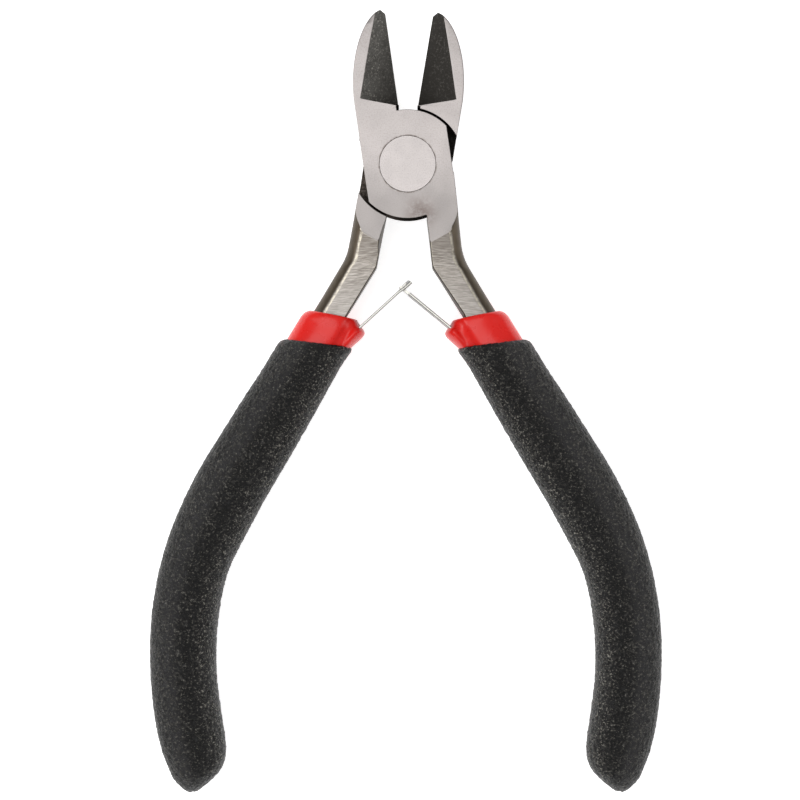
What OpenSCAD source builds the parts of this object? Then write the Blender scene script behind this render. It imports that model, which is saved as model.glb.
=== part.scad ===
// Diagonal cutting pliers with a lap joint, leaf return springs and dipped handles.
// The pliers lie flat: +Z is the pivot axis, +Y points to the jaws, +X is to the right.
// The origin is on the pivot axis, on the lower ground face of the joint.
// Each half is drawn as if the pliers were shut, for the jaw on the left and the arm on the
// right, and is then turned open about the pivot. The lower half is the same, mirrored.

/* [Joint] */
// Thickness of the joint, jaws and arms at the pivot
joint_t = 7; // [6:0.1:9]
// Radius of the round ends of the joint plates
plate_r = 7.75; // [7.4:0.05:7.9]
// Half the width across the flat sides of the joint
joint_half_w = 6.28; // [5.8:0.01:6.6]
// Gap between a joint plate's round end and the shoulder around it
shoulder_gap = 0.3; // [0.15:0.05:0.5]
// Gap between the two joint plates
plate_gap = 0.05; // [0.02:0.01:0.2]
// Radius of the pivot rivet's flush heads
rivet_head_r = 4; // [3.4:0.1:4.6]
// Radius of the pivot rivet's shank
rivet_shank_r = 2.6; // [2:0.1:3]
// Radial clearance of the rivet in the half that turns on it
rivet_clearance = 0.04; // [0.02:0.01:0.1]

/* [Jaws] */
// Distance from the pivot to the tip of the left jaw
left_jaw_len = 22.35; // [20:0.05:26]
// Distance from the pivot to the tip of the right jaw
right_jaw_len = 22.05; // [20:0.05:26]
// Angle that the left jaw stands open
left_jaw_open = 8.3; // [6:0.1:12]
// Angle that the right jaw stands open
right_jaw_open = 9.6; // [6:0.1:12]
// Distance from the pivot to the inner end of the cutting edges
edge_start = 8.4; // [8.2:0.1:10]
// Height of the cutting edges at their inner end
edge_low = 1.55; // [1:0.05:3]
// Rise of the cutting edges over their length, in degrees
edge_rise = 16.3; // [8:0.1:18]
// Slope of the ground bevels above the cutting edges, in degrees
bevel_slope = 43; // [30:1:55]
// Relief of the jaw faces below the cutting edges, in degrees
edge_relief = 8; // [3:1:15]
// Thickness of the jaws at the tip
tip_t = 2.8; // [2:0.1:4]

/* [Arms] */
// Angle that the left handle stands open
left_handle_open = 8.15; // [6:0.05:10]
// Angle that the right handle stands open
right_handle_open = 8.5; // [6:0.05:10]
// Distance of the handle's bend from the pivot, across and along the pliers
bend_at = [4.06, 16.33];
// How far out the left handle lies of that place, and the right one of its own
left_shift = 0.5; // [0:0.01:0.6]
right_shift = -0.42; // [-0.5:0.01:0]
// Width of the arms
arm_w = 4.5; // [3.8:0.1:5]
// Thickness of the tangs inside the grips
tang_t = 5; // [4:0.1:5.6]
// Distance along the handle to the end of the tangs
tang_end = 73; // [50:1:73]

/* [Handle curve] */
// Spread of the straight part of the handle, in degrees
spread = 23.24; // [18:0.01:28]
// Length of the straight part of the handle
straight_len = 33.4; // [28:0.1:38]
// Radius of the first, open bend back
first_r = 64.6; // [50:0.1:90]
// Radius of the second, tighter bend back
second_r = 42.2; // [30:0.1:60]
// Direction of the handle between the two bends, in degrees
mid_direction = 12; // [8:1:16]
// Direction of the handle's end, in degrees
end_direction = -17; // [-22:1:-10]

/* [Grips] */
// Thickness of the black grips
grip_t = 9; // [8:0.1:10]
// Thickness of the red sleeves
sleeve_t = 7.5; // [6.8:0.1:7.8]
// Distance of the red sleeves' mouths below the pivot
sleeve_mouth = 22.7; // [22:0.1:24]
// Tilt of the red sleeves' mouths from level, lower on the outer side, in degrees
sleeve_tilt = -3; // [-6:0.5:2]
// Distance of the black grips' mouths below the pivot
grip_mouth = 27.1; // [26:0.1:29]
// Tilt of the black grips' mouths from level, lower on the outer side, in degrees
grip_tilt = 1.5; // [-2:0.5:5]

/* [Springs] */
// Thickness of the spring strip
strip_t = 0.45; // [0.3:0.05:0.6]
// Width of the spring strip
strip_w = 4.6; // [3.6:0.1:5]
// Length of the left spring's free leaf
left_leaf_len = 9.05; // [8.8:0.05:9.4]
// Length of the right spring's free leaf, with its tongue
right_leaf_len = 8.65; // [8.4:0.05:8.9]
// Slant of the left leaf, away from the line to the jaws, in degrees
left_leaf_slant = 47.5; // [46:0.5:49]
// Slant of the right leaf, away from the line to the jaws, in degrees
right_leaf_slant = 50.5; // [49:0.5:52]
// Width of the tongue on the right leaf
tongue_w = 1.6; // [1.2:0.1:2]
// Distance along the right leaf to its tongue
tongue_from = 6.9; // [6.8:0.05:7]
// Start and end of the left leaf's window, along the leaf
window_span = [6.35, 8.5];
// Width of the window
window_w = 2.3; // [2.2:0.1:2.6]
// Radius of the rivets that hold the springs' feet
foot_rivet_r = 0.8; // [0.6:0.05:1]

/* [Hidden] */

$fn = 96;
steel = [0.80, 0.78, 0.77];
spring_steel = [0.88, 0.88, 0.86];
red = [0.88, 0.14, 0.12];
black = [0.16, 0.15, 0.15];

mid_z = joint_t / 2;            // middle of the thickness, where the plates meet
shoulder_r = plate_r + shoulder_gap;
far = 120;                      // longer than the pliers, for cutting blocks
fit = 0.05;                     // clearance of a sleeve on its tang and of a grip on its sleeve

// ---- the handle's centre line, by the distance s along it from the bend ----

function along(h) = [sin(h), -cos(h)];      // unit vector down the handle at heading h
function across(h) = [cos(h), sin(h)];      // unit vector to the handle's outer side

first_len = first_r * (spread - mid_direction) * PI / 180;
second_len = second_r * (mid_direction - end_direction) * PI / 180;
first_at = straight_len;
second_at = first_at + first_len;
last_at = second_at + second_len;

function heading(s) =
    s < first_at ? spread
    : s < second_at ? spread - (s - first_at) / first_r * 180 / PI
    : s < last_at ? mid_direction - (s - second_at) / second_r * 180 / PI
    : end_direction;

// The way covered by a bend of radius r that turns from heading a back to heading b
function bend_way(r, a, b) = r * [cos(b) - cos(a), sin(b) - sin(a)];

path_start = [bend_at[0], -bend_at[1]];
path_first = path_start + straight_len * along(spread);
path_second = path_first + bend_way(first_r, spread, mid_direction);
path_last = path_second + bend_way(second_r, mid_direction, end_direction);

function path(s) =
    s < first_at ? path_start + s * along(spread)
    : s < second_at ? path_first + bend_way(first_r, spread, heading(s))
    : s < last_at ? path_second + bend_way(second_r, mid_direction, heading(s))
    : path_last + (s - last_at) * along(end_direction);

// The distance s at which the centre line is y below the pivot, on its straight part
function path_s_at(y) = (y - bend_at[1]) / cos(spread);

function beside(s, u) = path(s) + u * across(heading(s));

// ---- the tang inside the handle, which lies off centre to leave room for the spring ----

tang_offset = [[0, 0.62], [24, 0.62], [36, 0]];
tang_half_w = [[0, arm_w / 2 - 0.07], [24, 2.3], [32, 2.6], [60, 2.4], [tang_end, 1.9]];

// ---- cross-sections along the sleeve and the grip: [s, inner half, outer half, thickness] ----
// s is where the section crosses the centre line, and thickness is a share of the full one.

sleeve_s = path_s_at(sleeve_mouth);
grip_s = path_s_at(grip_mouth);

sleeve_sections = [
    [sleeve_s + 0.1, 3.1, 3.5, 0.90], [sleeve_s + 0.45, 3.5, 3.85, 0.96],
    [sleeve_s + 0.95, 4.05, 4.0, 0.99], [sleeve_s + 1.4, 4.65, 4.05, 1],
    [sleeve_s + 1.9, 5.06, 4.05, 1], [sleeve_s + 2.6, 5.08, 4.05, 1],
    [sleeve_s + 4.6, 4.45, 4.05, 1], [sleeve_s + 6.6, 4.02, 4.05, 1],
    [20, 4.05, 4.1, 1], [30, 4.3, 4.25, 1], [40, 4.4, 4.2, 1], [46, 4.05, 4.1, 1],
    [56, 3.95, 3.9, 1], [66, 3.9, 3.85, 1], [71, 3.7, 3.7, 0.97],
    [74, 3.1, 3.0, 0.85], [75.4, 2.1, 2.1, 0.6], [76, 0.8, 0.8, 0.25]];

grip_sections = [
    [grip_s, 4.35, 4.4, 0.93], [grip_s + 0.3, 4.62, 4.66, 0.98],
    [grip_s + 0.8, 4.72, 4.78, 1], [grip_s + 1.6, 4.66, 4.8, 1],
    [grip_s + 2.8, 4.6, 4.8, 1], [17, 4.66, 4.82, 1], [21, 4.88, 4.92, 1],
    [25, 5.05, 4.98, 1], [30, 5.15, 5.06, 1], [36, 5.22, 5.1, 1], [39.5, 5.2, 5.08, 1],
    [43, 5.0, 5.06, 1], [46, 4.74, 5.0, 1], [50, 4.7, 4.86, 1], [55, 4.8, 4.74, 1],
    [61, 4.83, 4.64, 1], [66, 4.74, 4.72, 1], [69.5, 4.68, 4.82, 1], [72.5, 4.68, 4.72, 1],
    [75, 4.6, 4.42, 0.97], [77, 4.15, 3.96, 0.9], [78.4, 3.25, 3.58, 0.8],
    [79.5, 1.9, 2.95, 0.62], [80.3, 0.6, 2.3, 0.42], [80.8, -0.4, 1.7, 0.2]];

squareness = 2.3;               // 2 is an ellipse, more is a rounder box
ring_points = 28;
shear_end = 24;                 // s where sections become square to the centre line

// Sections are nearly level at the mouths, where the dip lines are, and turn square lower down
function shear(s, tilt) = tan(spread + tilt) * max(0, min(1, (shear_end - s) / 6));

function round_box(angle, half) =
    half * sign(angle) * pow(abs(angle), 2 / squareness);

function ring(section, thickness, tilt, grow) =
    let (s = section[0],
        middle = (section[2] - section[1]) / 2,
        half_w = (section[2] + section[1]) / 2 + grow,
        half_t = section[3] * thickness / 2 + grow)
    [for (i = [0 : ring_points - 1])
        let (a = 360 * i / ring_points,
            u = middle + round_box(cos(a), half_w),
            p = beside(s + u * shear(s, tilt), u))
        [p[0], p[1], mid_z + round_box(sin(a), half_t)]];

// A closed skin through the rings of a list of sections
module skin(sections, thickness, tilt, grow = 0) {
    n = ring_points;
    count = len(sections);
    points = [for (section = sections) each ring(section, thickness, tilt, grow)];
    sides = [for (j = [0 : count - 2], i = [0 : n - 1])
        let (a = j * n + i, b = j * n + (i + 1) % n)
        each [[a, a + n, b], [b, a + n, b + n]]];
    ends = [[for (i = [0 : n - 1]) i], [for (i = [n - 1 : -1 : 0]) (count - 1) * n + i]];
    polyhedron(points, concat(sides, ends), convexity = 6);
}

// ---- one half, drawn shut, with its jaw on the left and its arm on the right ----

// The jaw's rounded back, from the joint's side to the tip
back_start = 9.6;               // where the back leaves the joint's straight side
back_power = 1.85;              // 2 is an ellipse, less is a leaner jaw
tip_back = [-0.63, 0];          // the tip's corner, from the edge line
edge_air = 0.02;                // each cutting edge stays this far from the middle plane

module jaw_plan(jaw_len) {
    back_len = jaw_len - back_start + 0.16;
    back = [for (i = [0 : 14])
        let (t = (jaw_len - back_start) / back_len * sin(90 * i / 14))
        [-joint_half_w * pow(1 - pow(t, back_power), 1 / back_power), back_start + t * back_len]];
    polygon(concat([[-joint_half_w, 2]], back,
        [[tip_back[0], jaw_len], [-edge_air, jaw_len - 0.6], [-edge_air, edge_start],
        [-0.45, edge_start], [-0.45, 2]]));
}

// Side view of the jaw: the underside slopes up and the top rolls down to the tip
module jaw_side(jaw_len) {
    tip_top = joint_t - 0.8;
    polygon([[0, 0], [9, 0], [jaw_len + 0.5, tip_top - tip_t],
        [jaw_len + 0.5, tip_top], [18.2, joint_t], [0, joint_t]]);
}

// Turns a block so that its lower face holds the cutting edge and slopes up outwards
module on_cutting_edge(roll) {
    translate([-edge_air, edge_start, edge_low])
        rotate([edge_rise, 0, 0])
            rotate([0, roll, 0])
                children();
}

module bevel_cut() {
    bevel_roll = atan(tan(bevel_slope) * cos(edge_rise));
    wall_slope = 0.34;          // the bevel ends at a wall that runs back as it goes out
    intersection() {
        on_cutting_edge(bevel_roll) translate([-far / 2, -far / 2, 0]) cube(far);
        linear_extrude(joint_t + 1)
            polygon([[1, edge_start - wall_slope], [-9, edge_start + 9 * wall_slope],
                [-9, 40], [1, 40]]);
    }
}

module relief_cut() {
    on_cutting_edge(edge_relief) translate([0, 0, -20]) cube([5, 40, 20]);
}

module jaw(jaw_len) {
    difference() {
        intersection() {
            linear_extrude(joint_t) jaw_plan(jaw_len);
            rotate([90, 0, 90]) translate([0, 0, -10]) linear_extrude(20) jaw_side(jaw_len);
        }
        bevel_cut();
        relief_cut();
    }
}

// Plan of the arm and tang: side is 1 for the outer edge and -1 for the inner one
arm_bend_r = 6;

function arm_edge(side, shift, grow) =
    let (arm_x = joint_half_w - arm_w / 2,
        offset = tang_offset[0][1],
        s_v = (arm_x + shift - (path_start[0] + shift) - offset * cos(spread)) / sin(spread),
        vertex = beside(s_v, offset) + [shift, 0],
        root = [arm_x, -4],
        h_a = atan2(vertex[0] - root[0], root[1] - vertex[1]),
        start = vertex - arm_bend_r * tan((spread - h_a) / 2) * along(h_a),
        u = side * (arm_w / 2 + grow))
    concat([root + u * across(h_a)],
        [for (i = [0 : 5])
            let (h = h_a + (spread - h_a) * i / 5)
            start + arm_bend_r * [cos(h_a) - cos(h), sin(h_a) - sin(h)] + u * across(h)],
        [for (s = [6, 14, 24, 30, 33, for (s = [36 : 4 : tang_end - 1]) s, tang_end + grow])
            beside(s, lookup(s, tang_offset) + side * (lookup(s, tang_half_w) + grow))
                + [shift, 0]]);

function reversed(list) = [for (i = [len(list) - 1 : -1 : 0]) list[i]];

module arm(shift, grow = 0) {
    flat_to = -11;              // the ground flats of the joint end here
    intersection() {
        linear_extrude(joint_t + 1)
            polygon(concat(arm_edge(1, shift, grow), reversed(arm_edge(-1, shift, grow))));
        rotate([90, 0, 90]) translate([0, mid_z, -30]) linear_extrude(90)
            polygon([for (side = [-1, 1]) each
                let (profile = [[-2, joint_t / 2], [flat_to, joint_t / 2], [-23, 2.95 + grow],
                    [-32, tang_t / 2 + grow], [-far, tang_t / 2 + grow]])
                [for (p = side < 0 ? profile : reversed(profile)) [p[0], side * p[1]]]]);
    }
}

module joint_plate() {
    linear_extrude(joint_t)
        intersection() {
            circle(plate_r);
            square([2 * joint_half_w, 4 * plate_r], center = true);
        }
}

// The rivet and, with air around it, the bore that it fills: flush coned heads on a shank
module rivet_shape(air = 0, over = 0) {
    head_h = 0.9;
    cone_h = rivet_head_r - rivet_shank_r;
    rotate_extrude()
        polygon([[0, -over], [rivet_head_r + air, -over], [rivet_head_r + air, head_h],
            [rivet_shank_r + air, head_h + cone_h],
            [rivet_shank_r + air, joint_t - head_h - cone_h],
            [rivet_head_r + air, joint_t - head_h],
            [rivet_head_r + air, joint_t + over], [0, joint_t + over]]);
}

// A whole half. lap is "top" or "bottom", the side of the joint that its plate is on. The round
// room cut from the other side holds the other half's plate.
module half(lap, jaw_len, jaw_open, handle_open, shift, rivet_air) {
    room_h = mid_z + plate_gap / 2;     // from a joint face to this half's own plate
    difference() {
        union() {
            rotate(jaw_open) jaw(jaw_len);
            rotate(handle_open) arm(shift);
            rotate(handle_open) joint_plate();
        }
        translate([0, 0, lap == "top" ? -1 : joint_t - room_h])
            cylinder(r = shoulder_r, h = room_h + 1);
        rivet_shape(rivet_air, 1);
        rotate(handle_open) foot_rivet(shift, 0.02);
    }
}

// ---- springs ----

// The spring comes out of the sleeve's nose at its root, drawn shut on the right handle
leaf_root = [2.5, -23.4];
foot_bend_s = 12.8;             // the strip meets the tang here
foot_end_s = 22;
foot_rivet_s = 18;

// The strip's middle, beside the tang
foot_u = tang_offset[0][1] - tang_half_w[1][1] - fit - strip_t / 2;

module strip(a, b, t) {
    way = b - a;
    translate(a) rotate(atan2(way[1], way[0]))
        translate([0, -t / 2]) square([norm(way), t]);
}

module foot_plan(t, shift) {
    root = leaf_root + [shift, 0];
    knee = beside(foot_bend_s, foot_u) + [shift, 0];
    end = beside(foot_end_s + (t - strip_t) / 2, foot_u) + [shift, 0];
    toe = root + 0.12 * (knee - root) / norm(knee - root);
    strip(toe, knee, t);
    strip(knee, end, t);
    translate(knee) circle(d = t, $fn = 24);
}

module spring_foot(shift) {
    difference() {
        translate([0, 0, mid_z - strip_w / 2]) linear_extrude(strip_w)
            foot_plan(strip_t, shift);
        foot_rivet(shift, 0.02);
    }
}

// The rivet lies across the tang and the spring's foot. Its outer head is sunk in the tang.
module foot_rivet(shift, air = 0) {
    outer_u = tang_offset[0][1] + lookup(foot_rivet_s, tang_half_w);
    inner_u = foot_u - strip_t / 2;
    sink = 0.8;
    translate([shift, 0, mid_z])
        translate([path(foot_rivet_s)[0], path(foot_rivet_s)[1], 0])
            rotate([0, 0, spread])
                rotate([0, 90, 0]) {
                    translate([0, 0, inner_u - 0.45]) cylinder(r = foot_rivet_r + air,
                        h = outer_u - inner_u + 0.45, $fn = 48);
                    translate([0, 0, outer_u - sink]) cylinder(r = 1.4 + air, h = sink, $fn = 48);
                    translate([0, 0, inner_u - 0.45]) cylinder(r = 1.4, h = 0.45, $fn = 48);
                }
}

// A leaf from its root, lying along +X and standing on its edge
module leaf_at(root, slant) {
    translate([root[0], root[1], mid_z])
        rotate([0, 0, slant])
            children();
}

leaf_air = 0.15;                // the leaf's solid starts this far from the hinge at its root

module window_leaf() {
    difference() {
        translate([leaf_air, -strip_t / 2, -strip_w / 2])
            cube([left_leaf_len - leaf_air, strip_t, strip_w]);
        translate([window_span[0], -strip_t, -window_w / 2])
            cube([window_span[1] - window_span[0], 2 * strip_t, window_w]);
    }
}

module tongue_leaf() {
    translate([leaf_air, -strip_t / 2, -strip_w / 2])
        cube([tongue_from - leaf_air, strip_t, strip_w]);
    translate([tongue_from - 0.1, -strip_t / 2, -tongue_w / 2])
        cube([right_leaf_len - tongue_from + 0.1, strip_t, tongue_w]);
}

// ---- sleeve and grip ----

module sleeve(shift) {
    difference() {
        translate([shift, 0, 0]) skin(sleeve_sections, sleeve_t, sleeve_tilt);
        arm(shift, fit);
        translate([0, 0, mid_z - strip_w / 2 - fit]) linear_extrude(strip_w + 2 * fit)
            foot_plan(strip_t + 4 * fit, shift);
        rivet_pocket(shift);
    }
}

// Room in the sleeve for the inner head of the spring's rivet
module rivet_pocket(shift) {
    translate([shift, 0, mid_z])
        translate([path(foot_rivet_s)[0], path(foot_rivet_s)[1], 0])
            rotate([0, 0, spread])
                rotate([0, 90, 0])
                    translate([0, 0, foot_u - strip_t / 2 - 0.6])
                        cylinder(r = 1.55, h = 1, $fn = 48);
}

module grip(shift) {
    translate([shift, 0, 0])
        difference() {
            skin(grip_sections, grip_t, grip_tilt);
            skin(sleeve_sections, sleeve_t, sleeve_tilt, fit);
        }
}

// Opens a right handle's piece, or mirrors it into a left handle's piece and opens that
module on_right() {
    rotate(right_handle_open) children();
}

module on_left() {
    mirror([1, 0, 0]) rotate(left_handle_open) children();
}

function turned(p, a) = [p[0] * cos(a) - p[1] * sin(a), p[0] * sin(a) + p[1] * cos(a)];
right_root = turned(leaf_root + [right_shift, 0], right_handle_open);
left_root_mirrored = turned(leaf_root + [left_shift, 0], left_handle_open);
left_root = [-left_root_mirrored[0], left_root_mirrored[1]];

// ---- the pieces ----

module upper_half() {
    color(steel) half("top", left_jaw_len, left_jaw_open, right_handle_open, right_shift,
        rivet_clearance);
}

module lower_half() {
    color(steel) mirror([1, 0, 0])
        half("bottom", right_jaw_len, right_jaw_open, left_handle_open, left_shift, 0.01);
}

module pivot_rivet() {
    color(steel) rivet_shape();
}

module left_spring_foot() {
    color(spring_steel) on_left() spring_foot(left_shift);
}

module right_spring_foot() {
    color(spring_steel) on_right() spring_foot(right_shift);
}

module left_spring_leaf() {
    color(spring_steel) leaf_at(left_root, 90 - left_leaf_slant) window_leaf();
}

module right_spring_leaf() {
    color(spring_steel) leaf_at(right_root, 90 + right_leaf_slant) tongue_leaf();
}

module left_spring_rivet() {
    color(steel) on_left() foot_rivet(left_shift);
}

module right_spring_rivet() {
    color(steel) on_right() foot_rivet(right_shift);
}

module left_sleeve() {
    color(red) on_left() sleeve(left_shift);
}

module right_sleeve() {
    color(red) on_right() sleeve(right_shift);
}

module left_grip() {
    color(black) on_left() grip(left_shift);
}

module right_grip() {
    color(black) on_right() grip(right_shift);
}

upper_half();
lower_half();
pivot_rivet();
left_spring_foot();
left_spring_leaf();
left_spring_rivet();
right_spring_foot();
right_spring_leaf();
right_spring_rivet();
left_sleeve();
right_sleeve();
left_grip();
right_grip();
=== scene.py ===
"""Looks of the diagonal cutting pliers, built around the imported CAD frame.

The plan repeats the part's own formulas, in millimetres. The arms' bends and sections, the tops of
the jaws, the skins' rows and the strips go beyond the CAD. Each half is drawn shut, with its jaw on
the left and its arm on the right, then opened, and mirrored for the lower half.
"""

import math

import bmesh
import bpy
from mathutils import Matrix, Vector, noise
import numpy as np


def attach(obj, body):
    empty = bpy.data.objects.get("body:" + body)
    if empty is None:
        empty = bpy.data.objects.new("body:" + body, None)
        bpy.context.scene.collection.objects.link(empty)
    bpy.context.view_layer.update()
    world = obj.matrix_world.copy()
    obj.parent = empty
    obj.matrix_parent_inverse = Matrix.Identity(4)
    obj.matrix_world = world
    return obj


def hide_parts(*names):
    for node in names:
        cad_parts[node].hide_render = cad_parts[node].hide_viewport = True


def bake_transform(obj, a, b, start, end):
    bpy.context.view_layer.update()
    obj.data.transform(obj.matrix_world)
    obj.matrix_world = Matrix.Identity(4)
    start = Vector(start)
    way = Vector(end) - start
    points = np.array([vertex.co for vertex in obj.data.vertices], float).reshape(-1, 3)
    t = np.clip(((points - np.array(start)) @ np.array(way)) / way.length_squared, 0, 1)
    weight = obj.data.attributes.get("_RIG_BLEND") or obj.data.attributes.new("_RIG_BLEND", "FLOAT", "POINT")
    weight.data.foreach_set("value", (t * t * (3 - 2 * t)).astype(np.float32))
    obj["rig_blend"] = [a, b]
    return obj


for leftover in ("Cube", "Light", "Camera"):
    if leftover in bpy.data.objects:
        bpy.data.objects.remove(bpy.data.objects[leftover], do_unlink=True)

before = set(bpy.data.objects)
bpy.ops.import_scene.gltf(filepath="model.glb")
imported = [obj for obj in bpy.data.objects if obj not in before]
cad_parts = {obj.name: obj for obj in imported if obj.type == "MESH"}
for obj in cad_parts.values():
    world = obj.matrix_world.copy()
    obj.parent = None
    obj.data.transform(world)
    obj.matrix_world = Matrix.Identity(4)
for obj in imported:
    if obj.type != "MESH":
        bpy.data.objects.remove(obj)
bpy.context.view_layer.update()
scene = bpy.context.scene

MM = 0.001

# ---------------------------------------------------------------- camera

PICTURE_CENTRE = (-1.08, -33.65)
CAMERA_Z = 407.0
LENS = 126.4

camera_data = bpy.data.cameras.new("camera")
camera_data.sensor_width = 36.0
camera_data.lens = LENS
camera_data.clip_start = 0.02
camera_data.clip_end = 20.0
camera = bpy.data.objects.new("camera", camera_data)
camera.location = (PICTURE_CENTRE[0] * MM, PICTURE_CENTRE[1] * MM, CAMERA_Z * MM)
scene.collection.objects.link(camera)
scene.camera = camera

# ---------------------------------------------------------------- sizes, as in the CAD

JOINT_T = 7.0
MID_Z = JOINT_T / 2
PLATE_R = 7.75
HALF_W = 6.28
SHOULDER_R = PLATE_R + 0.3
PLATE_GAP = 0.05
RIVET_R = 4.0
SHANK_R = 2.6
HEAD_H = 0.9
LEFT_JAW = (22.35, 8.3)         # length, and degrees that it stands open
RIGHT_JAW = (22.05, 9.6)
LEFT_OPEN = 8.15
RIGHT_OPEN = 8.5
LEFT_SHIFT = 0.5
RIGHT_SHIFT = -0.42
EDGE_START = 8.4
EDGE_LOW = 1.55
EDGE_RISE = 16.3
BEVEL_SLOPE = 43.0
EDGE_RELIEF = 8.0
TIP_T = 2.8
EDGE_AIR = 0.02
ARM_W = 4.5
TANG_END = 73.0
SPREAD = 23.24
STRAIGHT = 33.4
FIRST_R = 64.6
SECOND_R = 42.2
MID_DIR = 12.0
END_DIR = -17.0
BEND_AT = (4.06, 16.33)
GRIP_T = 9.0
SLEEVE_T = 7.5
SLEEVE_MOUTH = 22.7
SLEEVE_TILT = -3.0
GRIP_MOUTH = 27.1
GRIP_TILT = 1.5
STRIP_T = 0.45
STRIP_W = 4.6
LEFT_LEAF = 9.05
RIGHT_LEAF = 8.65
LEFT_SLANT = 47.5
RIGHT_SLANT = 50.5
TONGUE_W = 1.6
TONGUE_FROM = 6.9
WINDOW = (6.35, 8.5)
WINDOW_W = 2.3
LEAF_ROOT = (2.5, -23.4)

# Along the path, in pairs of station and value
TANG_OFFSET = [(0, 0.62), (24, 0.62), (36, 0)]
TANG_HALF_W = [(0, ARM_W / 2 - 0.07), (24, 2.3), (32, 2.6), (60, 2.4), (TANG_END, 1.9)]

SQUARENESS = 2.3                # of the sleeves' and grips' sections, where 2 is an ellipse
SHEAR_END = 24.0                # their mouths' slant has died out here
SHEAR_FADE = 6.0


def sind(a):
    return math.sin(math.radians(a))


def cosd(a):
    return math.cos(math.radians(a))


def tand(a):
    return math.tan(math.radians(a))


def clamp(t):
    return max(0.0, min(1.0, t))


def along(h):
    return Vector((sind(h), -cosd(h)))


def across(h):
    return Vector((cosd(h), sind(h)))


def bend_way(r, a, b):
    return Vector((r * (cosd(b) - cosd(a)), r * (sind(b) - sind(a))))


FIRST_AT = STRAIGHT
SECOND_AT = FIRST_AT + FIRST_R * math.radians(SPREAD - MID_DIR)
LAST_AT = SECOND_AT + SECOND_R * math.radians(MID_DIR - END_DIR)
PATH_START = Vector((BEND_AT[0], -BEND_AT[1]))
PATH_FIRST = PATH_START + STRAIGHT * along(SPREAD)
PATH_SECOND = PATH_FIRST + bend_way(FIRST_R, SPREAD, MID_DIR)
PATH_LAST = PATH_SECOND + bend_way(SECOND_R, MID_DIR, END_DIR)


def heading(s):
    if s < FIRST_AT:
        return SPREAD
    if s < SECOND_AT:
        return SPREAD - math.degrees((s - FIRST_AT) / FIRST_R)
    if s < LAST_AT:
        return MID_DIR - math.degrees((s - SECOND_AT) / SECOND_R)
    return END_DIR


def path(s):
    if s < FIRST_AT:
        return PATH_START + s * along(SPREAD)
    if s < SECOND_AT:
        return PATH_FIRST + bend_way(FIRST_R, SPREAD, heading(s))
    if s < LAST_AT:
        return PATH_SECOND + bend_way(SECOND_R, MID_DIR, heading(s))
    return PATH_LAST + (s - LAST_AT) * along(END_DIR)


def path_s_at(y):
    return (y - BEND_AT[1]) / cosd(SPREAD)


def beside(s, u):
    return path(s) + u * across(heading(s))


def lookup(s, table):
    if s <= table[0][0]:
        return table[0][1]
    for (a, va), (b, vb) in zip(table, table[1:]):
        if s <= b:
            return va + (vb - va) * (s - a) / (b - a)
    return table[-1][1]


def smooth_rows(rows, s):
    """The row of values at s, on smooth curves through the rows of a table [s, values...]."""
    count = len(rows)
    i = 0
    while i < count - 2 and s > rows[i + 1][0]:
        i += 1
    a, b = rows[i], rows[i + 1]
    before = rows[i - 1] if i > 0 else a
    after = rows[i + 2] if i + 2 < count else b
    span = b[0] - a[0]
    t = clamp((s - a[0]) / span)
    out = []
    for k in range(1, len(a)):
        ta = (b[k] - before[k]) / (b[0] - before[0]) * span
        tb = (after[k] - a[k]) / (after[0] - a[0]) * span
        t2, t3 = t * t, t * t * t
        out.append((2 * t3 - 3 * t2 + 1) * a[k] + (t3 - 2 * t2 + t) * ta
                   + (3 * t2 - 2 * t3) * b[k] + (t3 - t2) * tb)
    return out


# ---------------------------------------------------------------- mesh helpers, in mm

def new_object(name, bm):
    mesh = bpy.data.meshes.new(name)
    bmesh.ops.recalc_face_normals(bm, faces=bm.faces)
    bm.to_mesh(mesh)
    bm.free()
    ob = bpy.data.objects.new(name, mesh)
    scene.collection.objects.link(ob)
    return ob


def rings_mesh(name, rings):
    """A closed skin through rings of points, with flat ends."""
    bm = bmesh.new()
    rows = [[bm.verts.new(p) for p in ring] for ring in rings]
    n = len(rows[0])
    for a, b in zip(rows, rows[1:]):
        for i in range(n):
            j = (i + 1) % n
            bm.faces.new((a[i], a[j], b[j], b[i]))
    bm.faces.new(rows[0])
    bm.faces.new(list(reversed(rows[-1])))
    return new_object(name, bm)


def prism(name, outline, z0, z1):
    return rings_mesh(name, [[(p[0], p[1], z0) for p in outline],
                             [(p[0], p[1], z1) for p in outline]])


def block(name, low, high, matrix=Matrix.Identity(4)):
    corners = [(low[0], low[1]), (high[0], low[1]), (high[0], high[1]), (low[0], high[1])]
    ob = prism(name, corners, low[2], high[2])
    ob.data.transform(matrix)
    return ob


def circle(radius, steps):
    return [(radius * cosd(360 * i / steps), radius * sind(360 * i / steps))
            for i in range(steps)]


LATHE_STEPS = 160


def lathe(name, profile):
    """Turns a profile of (radius, z), which starts and ends on the axis, about Z."""
    bm = bmesh.new()
    rows = [[bm.verts.new((x, y, z)) for x, y in circle(r, LATHE_STEPS)]
            for r, z in profile[1:-1]]
    for a, b in zip(rows, rows[1:]):
        for i in range(LATHE_STEPS):
            j = (i + 1) % LATHE_STEPS
            bm.faces.new((a[i], a[j], b[j], b[i]))
    bm.faces.new(rows[0])
    bm.faces.new(rows[-1])
    return new_object(name, bm)


def boolean(target, tool, operation):
    mod = target.modifiers.new("shape", "BOOLEAN")
    mod.operation = operation
    mod.object = tool
    mod.solver = "EXACT"
    bake_modifiers(target)
    bpy.data.objects.remove(tool, do_unlink=True)
    return target


def bake_modifiers(ob):
    bpy.context.view_layer.update()
    shaped = ob.evaluated_get(bpy.context.evaluated_depsgraph_get())
    mesh = bpy.data.meshes.new_from_object(shaped)
    ob.modifiers.clear()
    ob.data = mesh


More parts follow.
